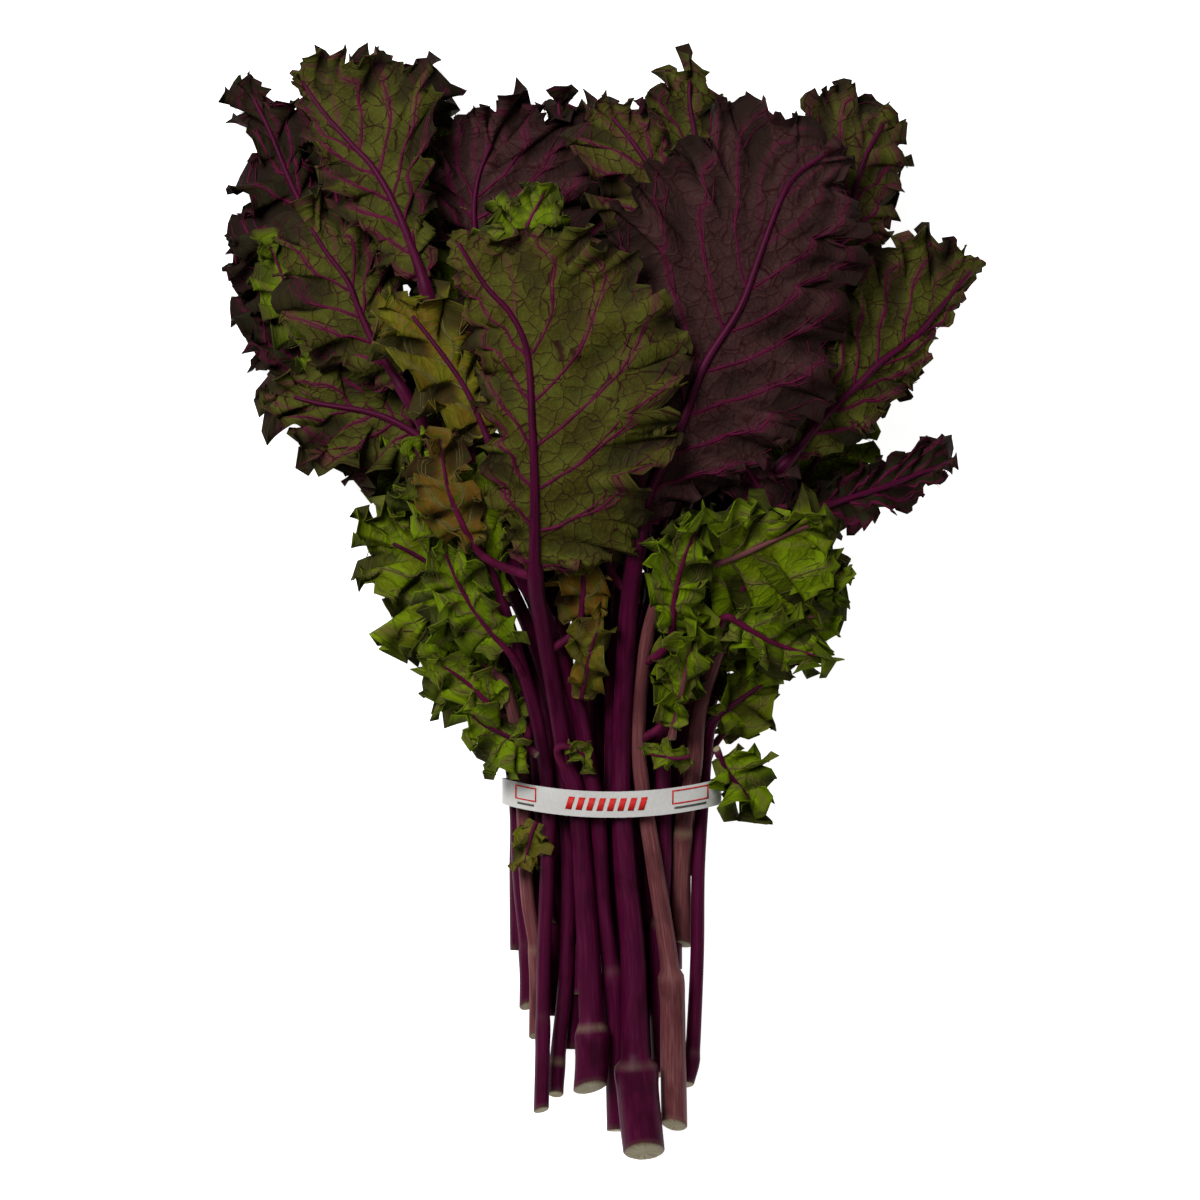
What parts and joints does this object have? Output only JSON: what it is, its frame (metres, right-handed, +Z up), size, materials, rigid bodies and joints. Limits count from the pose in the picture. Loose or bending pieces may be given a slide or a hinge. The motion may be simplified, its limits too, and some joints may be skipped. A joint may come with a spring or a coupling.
{
  "type": "purple kale bunch",
  "caption": "A bunch of purple kale lying down: long purple stems held by a flat paper tie, opening into a broad pile of ruffled, veined olive, green and dark purple leaves.",
  "frame": {"origin": "On the surface that the bunch lies on, under the middle of its bounding box.", "axes": "+Y runs along the stems from the cut ends to the leaves, +Z is up, away from the surface, and +X is across the bunch."},
  "size_m": [0.3248, 0.4774, 0.0986],
  "materials": {
    "stem_purple": "smooth, waxy",
    "stem_rose": "smooth, waxy",
    "blade_olive": "matt, veined",
    "blade_dusk": "matt, veined",
    "blade_green": "satin, veined",
    "blade_dark": "matt, veined",
    "blade_yellowing": "matt, drying",
    "tie_paper": "plain, slightly glossy paper"
  },
  "bodies": {
    "root": {"leaf_01_stem": "stem_purple", "leaf_01_blade": "blade_olive", "leaf_02_stem": "stem_purple", "leaf_02_blade": "blade_dusk", "leaf_03_stem": "stem_rose", "leaf_03_blade": "blade_green", "leaf_04_stem": "stem_purple", "leaf_04_blade": "blade_olive", "leaf_05_stem": "stem_purple", "leaf_05_blade": "blade_olive", "leaf_06_stem": "stem_purple", "leaf_06_blade": "blade_olive", "leaf_07_stem": "stem_purple", "leaf_07_blade": "blade_olive", "leaf_08_stem": "stem_purple", "leaf_08_blade": "blade_olive", "leaf_09_stem": "stem_purple", "leaf_09_blade": "blade_dark", "leaf_10_stem": "stem_purple", "leaf_10_blade": "blade_dark", "leaf_11_stem": "stem_purple", "leaf_11_blade": "blade_olive", "leaf_12_stem": "stem_purple", "leaf_12_blade": "blade_olive", "leaf_13_stem": "stem_purple", "leaf_13_blade": "blade_green", "leaf_14_stem": "stem_rose", "leaf_14_blade": "blade_green", "leaf_15_stem": "stem_purple", "leaf_15_blade": "blade_green", "leaf_16_stem": "stem_purple", "leaf_16_blade": "blade_green", "leaf_17_stem": "stem_purple", "leaf_17_blade": "blade_dusk", "leaf_18_stem": "stem_purple", "leaf_18_blade": "blade_dark", "leaf_19_stem": "stem_purple", "leaf_19_blade": "blade_dark", "leaf_20_stem": "stem_purple", "leaf_20_blade": "blade_green", "leaf_21_stem": "stem_rose", "leaf_21_blade": "blade_green", "leaf_22_stem": "stem_purple", "leaf_22_blade": "blade_green", "leaf_23_stem": "stem_purple", "leaf_23_blade": "blade_green", "leaf_24_stem": "stem_rose", "leaf_24_blade": "blade_green", "leaf_25_stem": "stem_purple", "leaf_25_blade": "blade_dark", "leaf_26_stem": "stem_purple", "leaf_26_blade": "blade_dark", "leaf_27_stem": "stem_purple", "leaf_27_blade": "blade_yellowing", "leaflet_1": "blade_yellowing", "leaflet_2": "blade_yellowing", "leaflet_3": "blade_yellowing", "leaflet_4": "blade_green", "tie": "tie_paper"}
  },
  "joints": []
}
